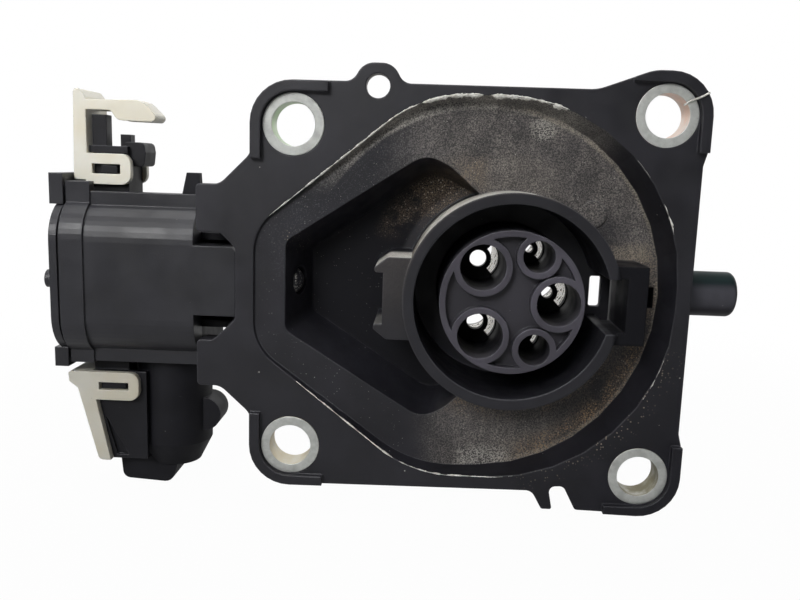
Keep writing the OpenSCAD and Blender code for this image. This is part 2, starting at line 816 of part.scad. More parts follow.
module actuator_base() {
    inner_half = base_half - act_wall;
    inner_left = cover_left + act_wall;
    color("#232529")
        difference() {
            union() {
                box([cover_left, base_y, -base_half], [-round_right, act_back, base_half]);
                box([cover_left, base_y, -rim_half], [-round_right, base_y + rim_t, rim_half]);
                box([-round_right - 1, base_y, -neck_half], [base_right, neck_back, neck_half]);
                for (sz = [1, -1]) {
                    box([-round_right - 1, ear_y, sz * ear_screw_z - ear_boss_r],
                        [ear_screw_x, ear_y + ear_t, sz * ear_screw_z + ear_boss_r]);
                    along_y(ear_y, ear_y + ear_t, ear_screw_x, sz * ear_screw_z, ear_boss_r);
                }
                plate(base_y, base_y + rim_t)
                    polygon([
                        [-round_right - 4.9, base_half],
                        [-round_right - 3.5, tab_top],
                        [-round_right - 0.4, tab_top],
                        [-round_right, base_half]
                    ]);
                along_z(-barrel_bottom + barrel_taper, -inner_half, motor_x, motor_y, barrel_r);
                translate([motor_x, motor_y, -barrel_bottom])
                    cylinder(h = barrel_taper, r1 = barrel_r - 3, r2 = barrel_r);
                plate(motor_y - 6, motor_y + 6)
                    polygon(rounded([
                        [motor_x - 13.1, -barrel_bottom + 2, 0],
                        [motor_x - 12.5, -barrel_bottom - 4.2, 2],
                        [motor_x + 0.5, -barrel_bottom - 5, 2.5],
                        [motor_x + 2.5, -barrel_bottom + 2, 0]
                    ], 4));
                along_y(motor_y - bulge_r, motor_y + bulge_r, bulge_x, bulge_z, bulge_r);
            }
            box([inner_left, base_y - 1, -inner_half],
                [-round_right - act_wall, act_back - act_wall, inner_half]);
            box([-round_right - act_wall - eps, base_y - 1, -neck_half + act_wall],
                [base_right - act_wall, neck_back - act_wall, neck_half - act_wall]);
            along_x(base_right - act_wall - 1, far, bolt_y, bolt_z, bolt_r + loose);
            along_z(motor_bottom, 0, motor_x, motor_y, motor_d / 2 + bolt_clear);
            for (sz = [1, -1])
                along_y(base_y, far, ear_screw_x, sz * ear_screw_z, screw_d / 2 + loose / 2);
        }
    color("#232529")
        for (low = [-base_half + act_wall, post_z])
            axle_post(low);
}

// Bearing post that carries one end of the gear axle
module axle_post(low) {
    high = low < 0 ? wheel_z - loose : base_half - act_wall;
    difference() {
        along_z(low, high, gear_x, gear_y, post_r);
        along_z(low - 1, high + 1, gear_x, gear_y, axle_d / 2 + seat);
    }
}

// End cap: its middle is set in from the two blocks that carry the rim
module actuator_end_cap() {
    color("#26282c") {
        bar(-act_left + cap_step, cap_x)
            polygon(cover_profile(0, rim_half + 4.2, rim_half + 1.6, act_back));
        box([-act_left, rim_y - 0.6, round_half], [cap_x, act_back, rim_half + 4.2]);
        box([-act_left, rim_y - 0.6, -rim_half - 1.6], [cap_x, act_back, -round_half]);
        along_x(-act_left - 0.6, -act_left + cap_step + 1, 6.4, -0.4, 2.2);
    }
}

module end_cap_seal() {
    hole_half = round_half - 1;
    color("#111113")
        difference() {
            bar(cap_x, cover_left)
                polygon(cover_profile(-0.5, rim_half + 1.2, rim_half - 0.8, act_back - 0.6));
            bar(cap_x - 1, cover_left + 1)
                polygon(cover_profile(-act_wall - 0.4, hole_half, hole_half, act_back - act_wall - 1));
        }
}

module actuator_screws() {
    color("#b9bcc0")
        for (sz = [1, -1])
            screw_y(ear_screw_x, ear_y + ear_t, sz * ear_screw_z, screw_d, ear_t + ear_bite, head_d);
}

// Lock drive

// Angle, in degrees, whose involute reaches radius r from a base circle
function involute(base, r) = r <= base ? 0 : sqrt(pow(r / base, 2) - 1) * 180 / PI - acos(base / r);

// Point at a radius and an angle
function polar(r, a) = r * [cos(a), sin(a)];

// Points of one tooth of a spur gear, with stub tips
function tooth(teeth, module_mm, index, shift) =
    let (
        pitch = teeth * module_mm / 2,
        base = pitch * cos(pressure_angle),
        root = pitch - module_mm * dedendum,
        tip = pitch + module_mm * addendum,
        half = 90 / teeth - backlash / 2 / pitch * 180 / PI + involute(base, pitch),
        foot = max(base, root),
        radii = concat(root < base ? [root] : [], [for (i = [0:4]) foot + (tip - foot) * i / 4]),
        mid = 360 * index / teeth + shift
    )
    concat(
        [for (r = radii) polar(r, mid - half + involute(base, r))],
        [for (i = [len(radii) - 1:-1:0]) polar(radii[i], mid + half - involute(base, radii[i]))]
    );

// Spur gear along Z, with the middle of its first tooth at the angle shift
module spur(teeth, module_mm, low, high, shift) {
    translate([0, 0, low])
        linear_extrude(high - low)
            polygon([for (i = [0:teeth - 1]) each tooth(teeth, module_mm, i, shift)]);
}

mesh_angle = atan2(motor_y - gear_y, motor_x - gear_x);

module drive_gear() {
    color("#d8d6cc")
        translate([gear_x, gear_y, 0])
            difference() {
                union() {
                    spur(wheel_teeth, gear_module, wheel_z, wheel_z + wheel_t, mesh_angle);
                    along_z(wheel_z, post_z - loose, 0, 0, rack_r - rack_module * 1.2);
                    spur(rack_teeth, rack_module, bolt_z - rack_half, bolt_z + rack_half, -90);
                }
                along_z(wheel_z - 1, post_z + 1, 0, 0, axle_d / 2 + axle_clear);
            }
}

module gear_axle() {
    color("#b9bcc0")
        along_z(-base_half + act_wall, base_half - act_wall, gear_x, gear_y, axle_d / 2);
}

module motor_pinion() {
    gap_angle = mesh_angle + 180 + 180 / pinion_teeth;
    color("#c9a24a")
        translate([motor_x, motor_y, 0])
            difference() {
                spur(pinion_teeth, gear_module, pinion_z, pinion_z + pinion_t, gap_angle);
                along_z(pinion_z - 1, pinion_z + pinion_t + 1, 0, 0, shaft_d / 2 + axle_clear);
            }
}

module lock_motor() {
    color("#a9adb2") {
        along_z(motor_bottom, motor_top, motor_x, motor_y, motor_d / 2);
        along_z(motor_top - 1, motor_top + 1.2, motor_x, motor_y, 2.4);
        along_z(motor_top, pinion_z + pinion_t + 0.8, motor_x, motor_y, shaft_d / 2);
    }
}

// One rack tooth space is centred on the gear at rest
module rack_teeth_form(left, right) {
    pitch = PI * rack_module;
    lean = tan(pressure_angle) * rack_module;
    low = rack_y - rack_module * dedendum;
    high = rack_y + rack_module * addendum;
    half = pitch / 4 - backlash / 2;
    count = floor((right - left) / pitch / 2);
    for (i = [-count:count - 1])
        translate([gear_x + (i + 0.5) * pitch, 0])
            polygon([
                [-half - lean * dedendum, low],
                [-half + lean * addendum, high],
                [half - lean * addendum, high],
                [half + lean * dedendum, low]
            ]);
}

module lock_bolt() {
    bar_left = gear_x - bolt_travel - 2.5;
    bar_right = -round_right - 0.5;
    bar_root = rack_y - rack_module * dedendum;
    color("#2b2c30")
        difference() {
            union() {
                box([bar_left, bolt_y - 3, bolt_z - rack_half], [bar_right, bar_root, bolt_z + rack_half]);
                translate([0, 0, bolt_z - rack_half])
                    linear_extrude(2 * rack_half)
                        rack_teeth_form(-gear_x - 12, -gear_x + 1);
                along_x(bar_right - 1, -bolt_tip - bolt_r, bolt_y, bolt_z, bolt_r);
                translate([-bolt_tip - bolt_r, bolt_y, bolt_z])
                    sphere(bolt_r);
            }
            along_z(bolt_z + rack_half - magnet_t, far, magnet_x, magnet_y, magnet_r + seat);
        }
}

module sensor_magnet() {
    color("#6c7076")
        along_z(bolt_z + rack_half - magnet_t + seat, bolt_z + rack_half, magnet_x, magnet_y, magnet_r);
}

module bolt_seal() {
    color("#1a1a1c")
        difference() {
            along_x(-notch_x + 0.2, -notch_x + seal_len, bolt_y, bolt_z, bolt_r + seal_w - seat);
            along_x(-notch_x - 1, -notch_x + 4, bolt_y, bolt_z, bolt_r + 0.1);
        }
}

module sensor_board() {
    color("#2f6b4a")
        box([-round_right - board_len, base_y + 1, board_z],
            [-round_right - act_wall - 0.2, act_back - act_wall, board_z + board_t]);
}

// Connectors and their ivory retainers

// Hasp loop in X and Z with a window, rounded at its free right end
module hasp(left, right, low, high, window_left, y) {
    plate(y, y + hasp_t)
        difference() {
            polygon(rounded([
                [left, high, 0.5],
                [right, high, hasp_round],
                [right, low, hasp_round],
                [left, low, 0.5]
            ], 5));
            translate([window_left, low + hasp_bar])
                square([right - hasp_bar - window_left, high - low - 2 * hasp_bar]);
        }
}

module upper_connector() {
    right = upper_body + upper_width;
    color("#1f2024")
        difference() {
            union() {
                box([upper_body, upper_y, upper_seat], [right, upper_back, ledge_top - 1]);
                box([upper_body - 0.6, upper_y - 0.6, ledge_top - ledge_t], [right, upper_back, ledge_top]);
                box([upper_body, upper_y, ledge_top - 1],
                    [upper_body + post_w, upper_y + post_w, post_top]);
                box([right - 3, upper_y + 3, ledge_top - 1], [right - 0.4, upper_y + 6, ledge_top + 3]);
                plate(upper_y + 1, upper_back - 1)
                    polygon(rounded([
                        [right - 1, ledge_top + 1.1, 0],
                        [right + block_w - 0.4, ledge_top + 1.1, 1.2],
                        [right + block_w, ledge_top - 1.3, 1],
                        [right + block_w - 0.4, ledge_top - 4.9, 1],
                        [right - 1, ledge_top - 4.9, 0]
                    ], 4));
                for (y = [upper_y - hasp_t + 0.4, upper_back - 0.4])
                    box([upper_body + 2.6, y, hasp_low + hasp_bar + 0.2],
                        [upper_body + 6.6, y + hasp_t, hasp_low + hasp_h - hasp_bar - 0.4]);
            }
            box([upper_body + 0.8, upper_y + 0.9, ledge_top + 1],
                [upper_body + post_w - 0.8, upper_y + post_w - 0.9, far]);
        }
}

module upper_retainer() {
    front = upper_y - hasp_t - seat;
    back = upper_back + hasp_t + seat;
    color("#ece6cf") {
        plate(front, back)
            polygon(rounded([
                [-upper_left, hasp_low + 1, 0.5],
                [-upper_left + 0.4, upper_top, 0.8],
                [-upper_left + 1.8, upper_top, 0.8],
                [-upper_left + retainer_t, upper_top - 2, 1],
                [-upper_left + retainer_t, hasp_low + 1, 0]
            ], 4));
        for (y = [front, upper_back + seat])
            hasp(-upper_left + 3, hasp_right, hasp_low, hasp_low + hasp_h, upper_body + 0.4, y);
        retainer_arm();
    }
}

// Curved finger arm at the top of the upper retainer, open below
module retainer_arm() {
    left = -upper_left + 3;
    front = upper_y - hasp_t - seat;
    back = front + arm_deep;
    difference() {
        plate(front, back)
            polygon(rounded([
                [left, upper_top - 2.6, 0],
                [arm_tip - 4, upper_top - 2.4, 3],
                [arm_tip, upper_top - 6.4, 1],
                [arm_tip - 1.2, upper_top - arm_low, 0.8],
                [arm_tip - arm_grip + 1.6, upper_top - arm_low + 0.2, 2],
                [arm_tip - arm_grip, upper_top - arm_root, 1],
                [left, upper_top - arm_root, 0]
            ], 4));
        plate(front + arm_wall, back - arm_wall)
            polygon(rounded([
                [left + 1.6, upper_top - 4.2, 0.4],
                [arm_tip - 4.6, upper_top - 4, 2],
                [arm_tip - 2, upper_top - 6.6, 0.5],
                [arm_tip - 2.4, upper_top - arm_low - arm_wall, 0],
                [left + 1.6, upper_top - arm_low - arm_wall, 0]
            ], 4));
    }
}

module lower_connector() {
    left = -lower_left + 1.5;
    window_z = lower_top - lower_hasp_h / 2;
    color("#1f2024")
        difference() {
            union() {
                plate(panel_y + panel_t, lower_back)
                    polygon([
                        [left, -base_half],
                        [left, lower_top],
                        [left + lower_lean, -lower_bottom],
                        [panel_right - panel_over, -lower_bottom],
                        [panel_right - panel_over, -base_half]
                    ]);
                plate(panel_y, panel_y + panel_t)
                    polygon([
                        [left, lower_top],
                        [left + lower_lean, -lower_bottom],
                        [panel_right, -lower_bottom],
                        [panel_right, lower_top]
                    ]);
                box([left + 2.8, panel_y - 0.8, window_z - 0.8],
                    [panel_right - panel_over, panel_y + 1, window_z + 0.8]);
            }
            along_z(-far, far, motor_x, motor_y, barrel_r + loose);
            plate(panel_y - 1, panel_y + 1)
                polygon([
                    [left + 3, window_z - 8],
                    [left + 9, -lower_bottom + 1],
                    [left + 6, -lower_bottom + 1]
                ]);
            box([-far, 0, -rim_half - loose], [far, base_y + rim_t + loose, 0]);
        }
}

module lower_retainer() {
    front = panel_y - hasp_t - seat;
    left = -lower_left + 1.4;
    color("#ece6cf") {
        hasp(left - 1.6, panel_right - 1.4, lower_top - lower_hasp_h, lower_top, left + 2.4, front);
        plate(front, lower_back)
            polygon(rounded([
                [left - 5.4, lower_top, 0.6],
                [left, lower_top, 0],
                [left + lower_lean, -lower_bottom, 0],
                [left + lower_lean - 3, -lower_bottom, 1.2],
                [left - 3, lower_top - 4.2, 1],
                [left - 5.2, lower_top - 2.6, 0.8]
            ], 4));
    }
}

inlet_housing();
contact_insert();
insert_seal();
insert_screws();
bushing(BOLTS[0]);  // bushing_top_left
bushing(BOLTS[1]);  // bushing_bottom_left
bushing(BOLTS[2]);  // bushing_top_right
bushing(BOLTS[3]);  // bushing_bottom_right
drain_nipple();
actuator_cover();
actuator_base();
actuator_end_cap();
end_cap_seal();
actuator_screws();
lock_bolt();
bolt_seal();
sensor_magnet();
sensor_board();
drive_gear();
gear_axle();
lock_motor();
motor_pinion();
upper_connector();
upper_retainer();
lower_connector();
lower_retainer();
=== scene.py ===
"""Looks of the charge port inlet: moulded plastics, zinc, ivory nylon, road dust and dried residue, with
painted light and shade in places.
"""
import math

import bpy
from mathutils import Matrix, Vector, noise


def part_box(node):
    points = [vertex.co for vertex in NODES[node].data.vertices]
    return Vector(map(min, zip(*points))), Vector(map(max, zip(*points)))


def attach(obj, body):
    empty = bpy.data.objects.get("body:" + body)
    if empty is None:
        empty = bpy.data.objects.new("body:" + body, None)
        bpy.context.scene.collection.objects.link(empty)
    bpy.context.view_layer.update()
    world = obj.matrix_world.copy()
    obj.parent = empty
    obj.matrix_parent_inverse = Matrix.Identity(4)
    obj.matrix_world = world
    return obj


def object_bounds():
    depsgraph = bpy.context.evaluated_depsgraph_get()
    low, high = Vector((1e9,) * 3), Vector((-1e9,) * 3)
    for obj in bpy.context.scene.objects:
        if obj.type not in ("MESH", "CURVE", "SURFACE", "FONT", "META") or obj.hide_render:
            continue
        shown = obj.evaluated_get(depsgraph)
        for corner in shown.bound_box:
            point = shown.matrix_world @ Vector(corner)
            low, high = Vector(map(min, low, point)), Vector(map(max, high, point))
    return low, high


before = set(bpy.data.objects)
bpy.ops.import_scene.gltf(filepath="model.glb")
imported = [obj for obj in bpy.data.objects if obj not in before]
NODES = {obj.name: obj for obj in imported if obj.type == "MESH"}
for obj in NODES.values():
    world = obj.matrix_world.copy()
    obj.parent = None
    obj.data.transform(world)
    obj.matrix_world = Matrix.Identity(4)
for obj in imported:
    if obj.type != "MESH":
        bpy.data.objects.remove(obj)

MM = 0.001
CAD_BOX = [list(corner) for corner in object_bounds()]

# Photograph's camera, in millimetres and unit vectors of the row frame
CAMERA_AT = (-20.5, -190.4, 30.0)
CAMERA_RIGHT = (0.99899, 0.03133, 0.03224)
CAMERA_UP = (-0.03692, 0.16257, 0.98601)
CAMERA_FORWARD = (-0.02565, 0.98620, -0.16356)
SENSOR = 36.0
LENS = 36.72
# Nearest distance that the camera shows, in metres
NEAR_CLIP = 0.005

# Sizes of the solids that the finish follows, in millimetres
FLANGE_Y = 0.0
# Dish outline as corners of (x, z, radius), and how much its wall leans in for each millimetre of depth
DISH = [
    (-60.4, 14.2, 12.0),
    (-21.5, 46.2, 30.0),
    (39.2, 46.2, 42.6),
    (39.2, -44.6, 42.6),
    (-21.5, -44.6, 30.0),
    (-60.4, -14.2, 12.0),
]
DISH_LEAN = 0.31
# Middle of the dish's round part
DISH_CENTRE = (-5.4, 0.8)
# Contact tubes as (x, z, radius of the bore)
TUBES = [(-6.8, 7.85, 5.2), (-6.8, -7.85, 5.2), (10.6, 0.0, 5.0), (5.6, 10.65, 3.6), (5.6, -10.65, 3.6)]
# The screw bosses that show in the dish lie this far right of and above or below the socket's axis
BOSS_AT = 19.8
# Floor of the key channel and its drain window as (low x, high x, low z, high z)
KEY_FLOOR = (16.9, 27.2, -7.6, 6.6)
DRAIN_WINDOW = (22.0, 24.85, -3.95, 3.9)
# Depth of that floor, and the depth and corner radius of the window's lip
KEY_FLOOR_Y = 15.9
DRAIN_LIP = 1.6
DRAIN_CORNER = 0.7
# Middle of the pale chip in the dish's upper edge, and of the crumbs at its left end, as (x, z)
CHIP_AT = (6.8, 39.6)
CRUMBS_AT = (-51.0, 11.2)
# Points and radius of the fibre at the upper right sleeve
STRAND = [(37.0, -0.1, 45.2), (38.4, -0.5, 46.2), (40.2, -1.9, 47.0), (42.0, -2.0, 48.0)]
STRAND_R = 0.24
# Distance between the points along the dish's edge that carry the residue
EDGE_GAP = 0.35

# Half size of the floor and its gap below the part, in metres
FLOOR_SIZE = 6.0
FLOOR_GAP = 0.001
# How white the floor reads near the part, and the distances between which it turns fully white, in metres
FLOOR_WHITE = 0.975
FLOOR_FADE = (0.12, 0.34)
# How much of the white floor mirrored rays see
FLOOR_MIRRORED = 0.20
# The room in front: how bright it is in mirrored rays, and its light
ROOM_MIRRORED = 0.05
AMBIENT = 0.06
# Light of the backdrop behind, and the Y parts of a ray's heading between which the room turns into it
BACKDROP = 1.0
BACKDROP_FADE = (-0.20, 0.50)

# Colours, linear
BLACK = (0.0105, 0.0103, 0.0135)
# Deep black of the actuator's rear and the connectors, also painted as shade into the latch pocket, key box
# and tubes
BLACK_DEEP = (0.0075, 0.0075, 0.0095)
BLACK_INSERT = (0.0430, 0.0400, 0.0510)
BLACK_SHELL = (0.0135, 0.0135, 0.0165)
BLACK_RUBBER = (0.006, 0.006, 0.007)
# Pale wear on scuffs and edges, also the painted highlight on black plastic's up-facing edges
WORN_AND_SHEEN = (0.130, 0.130, 0.145)
TAN = (0.255, 0.232, 0.212)
BROWN = (0.145, 0.108, 0.072)
SAND = (0.280, 0.240, 0.190)
CHALK = (0.62, 0.60, 0.55)
# Pale dried lime and residue, also painted as light on the dish's upper wall and the bosses' sides
DRIED_AND_PAINTED_LIGHT = (0.42, 0.40, 0.36)
RUST = (0.300, 0.200, 0.115)
# Colour of the mud in the tubes, also the colour of its painted glow
PALE_MUD = (0.90, 0.88, 0.84)
RESIDUE_PALE = (0.78, 0.77, 0.73)
RESIDUE_DARK = (0.40, 0.38, 0.33)
# Colour of the painted highlight band on the drain stub
NIPPLE_HIGHLIGHT = (0.075, 0.075, 0.088)
NIPPLE_GREEN = (0.004, 0.016, 0.016)
IVORY = (0.74, 0.72, 0.64)
IVORY_AGED = (0.68, 0.63, 0.50)
IVORY_EDGE = (0.86, 0.84, 0.76)
ZINC = (0.46, 0.47, 0.45)
ZINC_PITTED = (0.30, 0.29, 0.27)
ZINC_WORN = (0.80, 0.80, 0.79)
METAL_WORN = (0.85, 0.85, 0.84)
STEEL_PLATED = (0.60, 0.61, 0.62)
STEEL_DRAWN = (0.50, 0.51, 0.53)
BRASS = (0.72, 0.55, 0.25)
GEAR_NATURAL = (0.70, 0.68, 0.60)
BOARD_GREEN = (0.030, 0.130, 0.070)
PAPER_DARK = (0.36, 0.36, 0.36)
PAPER_PALE = (0.40, 0.40, 0.40)
WHITE = (1.0, 1.0, 1.0)
# Strength of the glow painted into the mud in the tubes, in place of the white ground behind lighting it
MUD_PAINTED_GLOW = 0.40

# How far a rounded normal agrees with the true one on a flat surface, and at a sharp edge
AGREE_FLAT = 0.985
AGREE_EDGE = 0.80


class Graph:
    """A material, with short calls for the nodes that build it."""

    def __init__(self, name):
        self.material = bpy.data.materials.new(name)
        self.material.use_nodes = True
        self.tree = self.material.node_tree
        self.tree.nodes.clear()
        self.output = self.tree.nodes.new("ShaderNodeOutputMaterial")
        self.shader = self.tree.nodes.new("ShaderNodeBsdfPrincipled")
        self.tree.links.new(self.shader.outputs[0], self.output.inputs["Surface"])
        coords = self.tree.nodes.new("ShaderNodeTexCoord")
        self.position = coords.outputs["Object"]
        self.normal = coords.outputs["Normal"]

    def node(self, kind, inputs=None, **settings):
        made = self.tree.nodes.new("ShaderNode" + kind)
        for name, value in settings.items():
            setattr(made, name, value)
        for name, value in (inputs or {}).items():
            self.put(made.inputs[name], value)
        return made

    def put(self, socket, value):
        if isinstance(value, bpy.types.NodeSocket):
            self.tree.links.new(value, socket)
        elif isinstance(value, tuple) and len(value) == 3 and socket.type == "RGBA":
            socket.default_value = (*value, 1.0)
        else:
            socket.default_value = value

    def set(self, **values):
        """Sets the shader's own sockets; an underscore stands for a space."""
        for name, value in values.items():
            self.put(self.shader.inputs[name.replace("_", " ")], value)

    def math(self, operation, a, b=0.0):
        return self.node("Math", {0: a, 1: b}, operation=operation).outputs[0]

    def times(self, *values):
        product = values[0]
        for value in values[1:]:
            product = self.math("MULTIPLY", product, value)
        return product

    def most(self, *values):
        largest = values[0]
        for value in values[1:]:
            largest = self.math("MAXIMUM", largest, value)
        return largest

    def smooth(self, value, low, high, to_low=0.0, to_high=1.0):
        """A soft step of a value from low to high."""
        return self.node(
            "MapRange",
            {0: value, 1: low, 2: high, 3: to_low, 4: to_high},
            interpolation_type="SMOOTHSTEP",
        ).outputs[0]

    def span(self, value, low, high):
        """A soft step of a length, with its ends in millimetres."""
        return self.smooth(value, low * MM, high * MM)

    def mix(self, factor, a, b):
        return self.node("Mix", {0: factor, 6: a, 7: b}, data_type="RGBA").outputs[2]

    def stretched(self, x, y, z):
        """The position, scaled along each axis."""
        return self.node("Mapping", {"Vector": self.position, "Scale": (x, y, z)}).outputs[0]

    def noise(self, size, detail=2.0, vector=None, roughness=0.5):
        """Noise whose blotches are about this many millimetres wide."""
        inputs = {
            "Vector": vector or self.position,
            "Scale": 1.0 / (size * MM),
            "Detail": detail,
            "Roughness": roughness,
        }
        return self.node("TexNoise", inputs).outputs[0]

    def specks(self, cell, radius, share):
        """Small round grains: one in this share of the cells, with the cell and radius in millimetres."""
        cells = self.node("TexVoronoi", {"Vector": self.position, "Scale": 1.0 / (cell * MM)})
        pick = self.node("SeparateColor", {0: cells.outputs["Color"]})
        fade = 0.02
        chosen = self.smooth(pick.outputs[0], 1.0 - share, 1.0 - share + fade)
        size = self.math("MULTIPLY", pick.outputs[1], radius / cell)
        return self.times(chosen, self.math("LESS_THAN", cells.outputs["Distance"], size))

    def axis(self, vector, name):
        return self.node("SeparateXYZ", {0: vector}).outputs["XYZ".index(name)]

    def disc(self, x, z):
        """Distance in metres from the line along Y through (x, z) millimetres."""
        flat = self.node(
            "VectorMath",
            {0: self.position, 1: (1.0, 0.0, 1.0)},
            operation="MULTIPLY",
        ).outputs[0]
        return self.node(
            "VectorMath",
            {0: flat, 1: (x * MM, 0.0, z * MM)},
            operation="DISTANCE",
        ).outputs["Value"]

    def edges(self, radius):
        """(edge mask, rounded normal): bright where a surface turns within this many millimetres."""
        bevel = self.node("Bevel", {"Radius": radius * MM}, samples=6)
        true = self.node("NewGeometry")
        agree = self.node(
            "VectorMath",
            {0: bevel.outputs[0], 1: true.outputs["Normal"]},
            operation="DOT_PRODUCT",
        ).outputs["Value"]
        return self.smooth(agree, AGREE_FLAT, AGREE_EDGE), bevel.outputs[0]

    def bump(self, height, depth, normal):
        """A normal with this many millimetres of relief."""
        inputs = {"Strength": 1.0, "Distance": depth * MM, "Height": height, "Normal": normal}
        return self.node("Bump", inputs).outputs[0]


def shaded(tint, factor):
    """A colour, made darker or brighter by a factor."""
    return tuple(channel * factor for channel in tint)


# Plastics

def black_plastic(name, tint=BLACK, rough=(0.40, 0.56), grain=0.35, specks=0.35, edge_wear_and_highlight=0.55, edge=0.35,
                  gloss=0.36, dirt=None):
    """Moulded black plastic: fine grain, handling marks, worn edges with a painted highlight where they face
    up, and dust; dirt adds what lies on it, and painted light and shade.
    """
    g = Graph(name)
    cloud = g.noise(size=14.0, detail=4.0)
    grit = g.noise(size=0.42, detail=3.0)
    worn, rounded = g.edges(edge)
    colour = g.mix(g.smooth(cloud, 0.36, 0.68), tint, shaded(tint, 1.55))
    scuff = g.noise(size=0.9, vector=g.stretched(0.18, 1.0, 1.0))
    colour = g.mix(g.times(g.smooth(scuff, 0.70, 0.82), 0.10), colour, WORN_AND_SHEEN)
    # Painted highlight: the worn edges are paler where they face up
    painted_top_highlight = g.smooth(g.axis(rounded, "Z"), 0.05, 0.45, to_low=0.45)
    colour = g.mix(g.times(worn, painted_top_highlight, g.smooth(grit, 0.25, 0.60, to_low=0.5), edge_wear_and_highlight), colour, WORN_AND_SHEEN)
    roughness = g.smooth(g.noise(size=5.0, detail=3.0), 0.3, 0.7, *rough)
    g.set(Specular_IOR_Level=gloss)
    if dirt:
        colour, roughness = dirt(g, colour, roughness)
    colour = g.mix(g.times(g.specks(cell=1.9, radius=0.16, share=0.16), specks), colour, CHALK)
    g.set(Base_Color=colour, Roughness=roughness)
    g.set(Normal=g.bump(grit, 0.010 * grain, rounded))
    return g.material


class Place:
    """Where a point of the housing lies and how dirt is spread there, for the masks of its dirt."""

    def __init__(self, g):
        self.g = g
        self.x, self.y, self.z = (g.axis(g.position, name) for name in "XYZ")
        self.up = g.axis(g.normal, "Z")
        self.front = g.math("MULTIPLY", g.axis(g.normal, "Y"), -1.0)
        # Distances from the socket's axis, from the dish's middle, and from that without the wall's lean
        self.collar = g.disc(0.0, 0.0)
        self.dish = g.disc(*DISH_CENTRE)
        self.reach = g.math("ADD", self.dish, g.times(self.y, DISH_LEAN))
        # Uneven spread and fine grain
        self.patch = g.noise(size=9.0, detail=5.0, roughness=0.62)
        self.grit = g.noise(size=0.34, roughness=0.8)
        self.grain = g.smooth(self.grit, 0.43, 0.60, to_low=0.18)
        # The dish's floor, its wall at the top, and the parts of the floor that are dirty
        self.floor = g.times(self.zone(y=(0.4, 1.6, 8.5, 11.0)), g.smooth(self.front, 0.75, 0.95))
        self.wall = self.zone(reach=(43.6, 44.4), y=(0.0, 0.2), z=(22, 36), x=(26, 10))
        top = self.zone(z=(8, 24), x=(-34, -14))
        right = self.zone(x=(18, 29), z=(-14, 0))
        bottom = self.zone(z=(-20, -31), x=(-24, -8, 10, 27))
        rest = g.times(self.zone(x=(-10, 10)), 0.25)
        self.ring = g.most(g.times(self.floor, g.most(top, right, bottom, rest)), self.wall)
        # The dish's lower right edge, and the ground under the collar
        self.corner = self.zone(reach=(36.5, 44.0), z=(12, -8), x=(-6, 10))
        self.under = self.zone(collar=(34, 26), z=(-8, -20), x=(-22, -12))

    def zone(self, **limits):
        """Product of soft steps in millimetres: (none, full), or (none, full, full, none) for a band."""
        steps = []
        for name, limit in limits.items():
            value = getattr(self, name)
            steps.append(self.g.span(value, limit[0], limit[1]))
            if len(limit) == 4:
                steps.append(self.g.span(value, limit[3], limit[2]))
        return self.g.times(*steps)


def painted_shade_pocket_and_key_box(g, at, colour):
    """Painted shade: the latch pocket and the key box are painted deep black and dull, and the gloss fades to
    the lower right.
    """
    pocket = at.zone(y=(4.5, 7.0), x=(-6, -12), collar=(26, 28))
    key_box = at.zone(x=(22.5, 23.5), y=(6, 3), dish=(40, 38))
    dull = g.most(g.times(pocket, g.smooth(at.front, 0.5, 0.9)), key_box)
    lower_right = g.times(g.span(g.math("SUBTRACT", at.x, at.z), 25, 85), 0.6)
    g.set(Specular_IOR_Level=g.smooth(g.most(dull, lower_right), 0.0, 1.0, to_low=0.36, to_high=0.10))
    return g.mix(g.times(dull, 0.9), colour, BLACK_DEEP)


def film_lime_and_painted_light(g, at, colour):
    """(colour, film): grey film on the dish, dried lime on its upper wall made paler as painted light, pale
    residue at a chip, and painted light on the bosses' shaded sides.
    """
    smear = g.noise(size=5.0, detail=4.0, vector=g.stretched(1.0, 1.0, 0.35), roughness=0.6)
    spread = g.times(g.smooth(at.patch, 0.25, 0.66, to_low=0.45), g.smooth(smear, 0.3, 0.7, to_low=0.6))
    film = g.times(at.ring, spread, at.grain)
    colour = g.mix(g.times(film, 0.92), colour, TAN)
    # Dried lime on the upper wall, painted paler to stand in for light that the down-facing wall does not get
    lime_and_painted_light = g.times(at.wall, g.smooth(at.patch, 0.30, 0.60, to_low=0.35), at.grain)
    chip = g.times(at.floor, g.span(g.disc(*CHIP_AT), 4.2, 1.4), g.smooth(at.grit, 0.40, 0.62))
    # Painted light: the bosses' shaded sides are painted pale so that their shadow does not show
    painted_boss_light = g.math("MINIMUM", g.disc(BOSS_AT, BOSS_AT), g.disc(BOSS_AT, -BOSS_AT))
    painted_boss_light = g.times(g.span(painted_boss_light, 3.9, 3.5), g.smooth(at.front, 0.7, 0.3), at.zone(y=(8.0, 7.0)))
    return g.mix(g.times(g.most(lime_and_painted_light, chip, painted_boss_light), 0.85), colour, DRIED_AND_PAINTED_LIGHT), film


def brown_dirt(g, at, colour):
    """(colour, mask): brown under the collar, beside the key box, in the pocket's end, at the lower right."""
    beside = at.zone(x=(26, 30), z=(-16, -6, 8, 15))
    pocket_end = at.zone(collar=(24.8, 25.2, 31, 37), x=(-4, -9), z=(10, 18), y=(1, 3, 18, 19))
    pocket_end = g.times(pocket_end, g.smooth(at.front, -0.4, -0.1))
    earthy = g.most(g.times(at.floor, g.most(at.corner, at.under, beside)), pocket_end)
    earth = g.times(earthy, g.smooth(at.patch, 0.32, 0.58), g.smooth(at.grit, 0.42, 0.60))
    return g.mix(g.times(earth, 0.85), colour, BROWN), earthy


